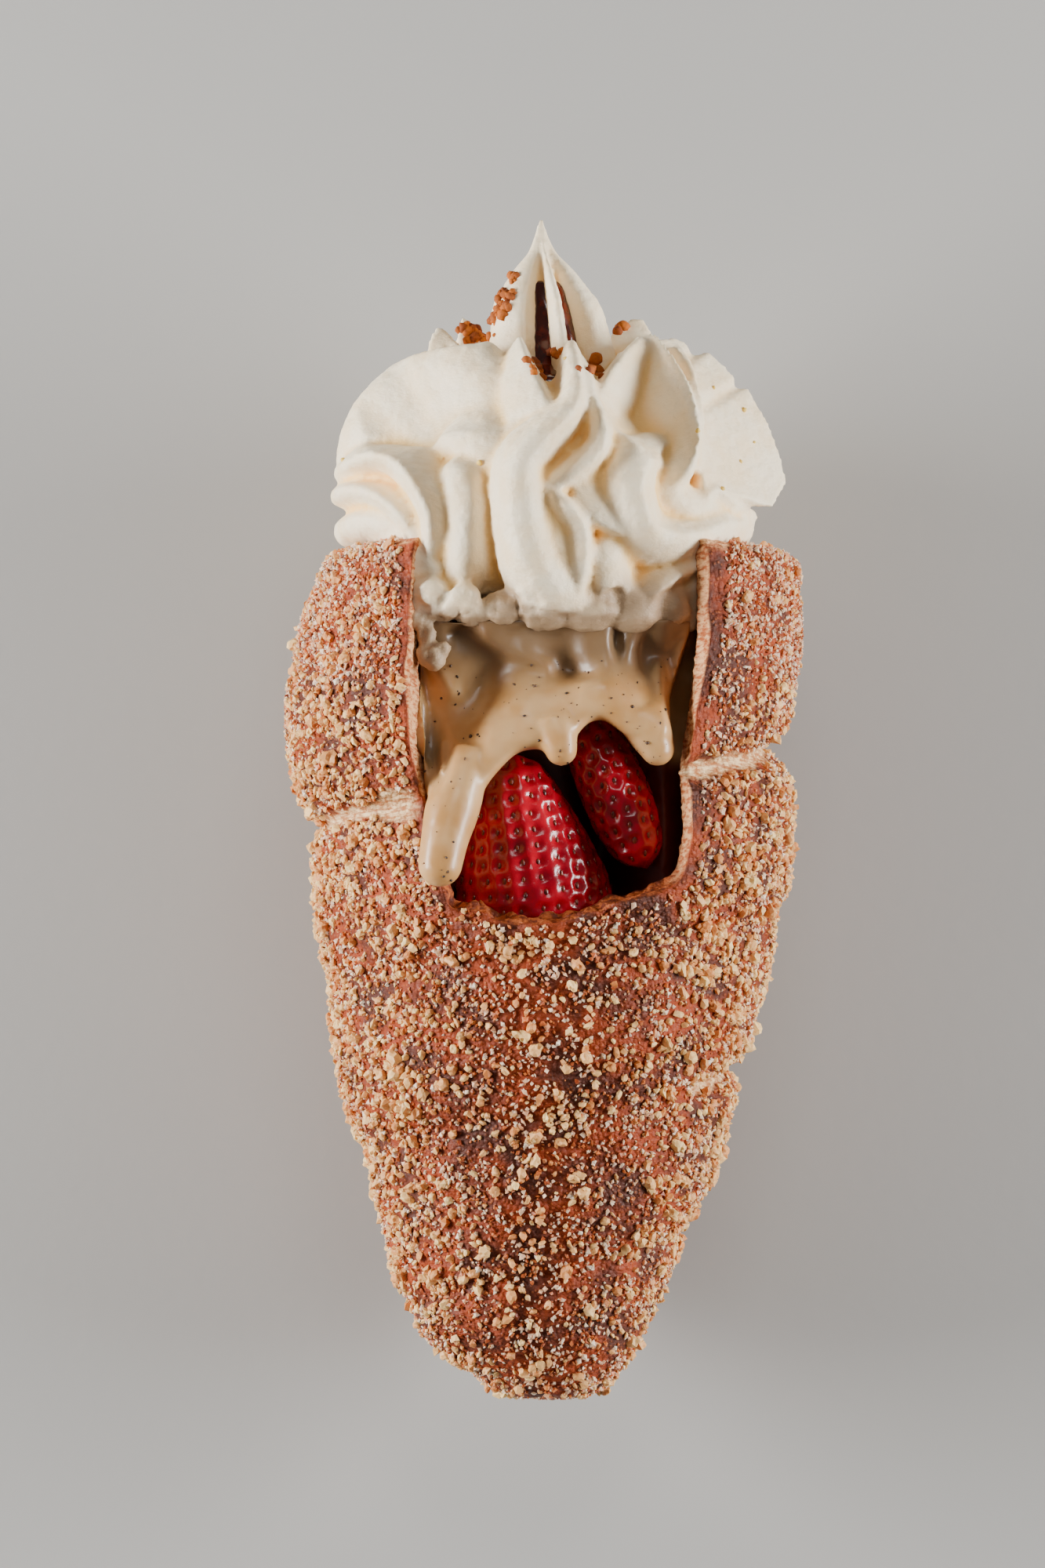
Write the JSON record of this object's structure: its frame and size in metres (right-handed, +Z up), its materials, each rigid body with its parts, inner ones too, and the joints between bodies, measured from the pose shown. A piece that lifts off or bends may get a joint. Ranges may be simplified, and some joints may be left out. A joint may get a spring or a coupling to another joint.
{
  "type": "filled chimney cake cone",
  "caption": "Spiral-wound sweet dough cone rolled in cinnamon sugar and nuts, cut open in front, filled with vanilla custard and strawberries and topped with piped cream",
  "frame": {"origin": "the middle of the small flat area on the cake's back that it lies on", "axes": "+Z points up, away from the surface that the cake lies on, and the cut-open front faces up; +Y runs along the cake from its tip to the cream's peak; +X is to the right as seen from above with the cream at the top"},
  "size_m": [0.0928, 0.2097, 0.0907],
  "materials": {
    "sugared_crust": "baked reddish-brown crust under cinnamon sugar and chopped nuts",
    "custard": "glossy beige custard with vanilla specks",
    "strawberry": "wet, shiny red fruit with dimpled seeds",
    "cream": "soft satin whipped cream"
  },
  "bodies": {
    "root": {"dough_cone": "sugared_crust", "vanilla_custard": "custard", "strawberry_left": "strawberry", "strawberry_right": "strawberry", "whipped_cream": "cream"}
  },
  "joints": []
}
